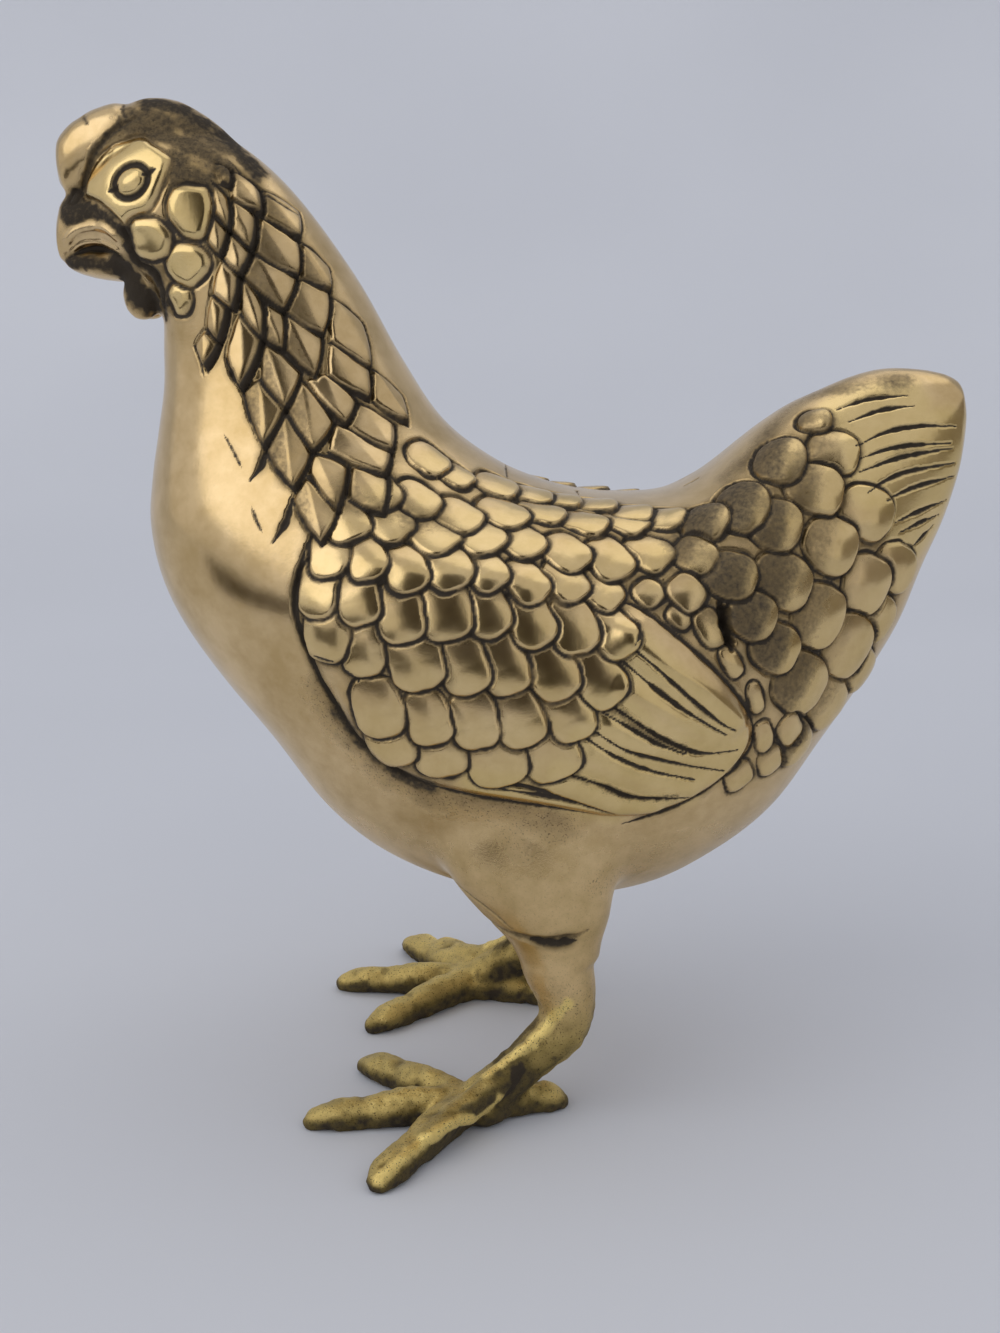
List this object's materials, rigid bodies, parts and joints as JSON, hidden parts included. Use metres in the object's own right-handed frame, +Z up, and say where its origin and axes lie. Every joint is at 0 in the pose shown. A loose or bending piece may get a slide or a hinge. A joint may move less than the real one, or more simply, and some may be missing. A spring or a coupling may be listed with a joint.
{
  "type": "brass hen figurine",
  "caption": "Standing hen figurine in hollow cast brass, with a raised wing on each flank, a brazed tail and separate cast legs and splayed feet on studs.",
  "frame": {"origin": "on the ground, midway along, across and under the hen: the bottom centre of its bounding box", "axes": "the hen faces -X and stands on the plane Z = 0 with +Z up; its left side is -Y and its middle plane is Y = 0"},
  "size_m": [0.2174, 0.1416, 0.2406],
  "materials": {
    "polished_brass": "polished, with dark patina left in the chased lines",
    "tail_brass": "polished, with dark patina left in the chased lines",
    "satin_brass": "satin, as cast, lightly rubbed",
    "raw_brass": "rough, as cast, rubbed bright on its high parts",
    "plated_steel": "zinc plated"
  },
  "bodies": {
    "root": {"body_left": "polished_brass", "body_right": "polished_brass", "tail": "tail_brass", "leg_left": "satin_brass", "leg_right": "satin_brass", "foot_left": "raw_brass", "foot_right": "raw_brass", "leg_stud_left": "plated_steel", "leg_stud_right": "plated_steel"}
  },
  "joints": []
}
